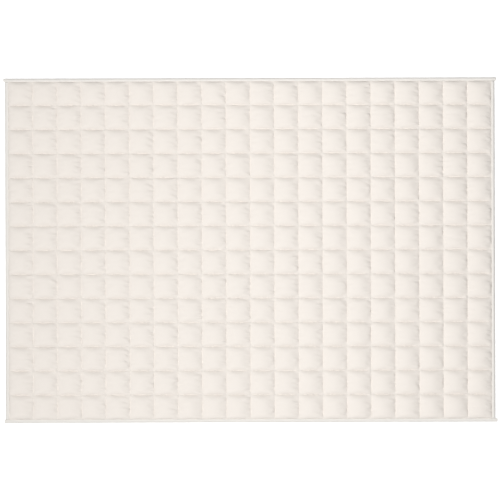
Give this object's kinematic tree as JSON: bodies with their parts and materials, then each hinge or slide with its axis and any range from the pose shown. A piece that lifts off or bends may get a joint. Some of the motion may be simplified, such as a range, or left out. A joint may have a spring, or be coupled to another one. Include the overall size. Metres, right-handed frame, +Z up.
{
  "type": "weighted blanket",
  "caption": "Cream quilted weighted blanket lying flat, sewn into a grid of low filled squares, its edges bound with folded cloth strips.",
  "frame": {"origin": "under the middle of the blanket's footprint, on the surface that it lies on", "axes": "+X along its length, towards the right short edge; +Y across its width, towards the far long edge; +Z up"},
  "size_m": [2.015, 1.407, 0.0191],
  "materials": {
    "cover": "matt brushed cream cloth, quilted",
    "binding": "matt off-white woven strip"
  },
  "bodies": {
    "root": {"quilted_panel": "cover", "edge_binding_left": "binding", "edge_binding_right": "binding", "edge_binding_far": "binding", "edge_binding_near": "binding"}
  },
  "joints": []
}
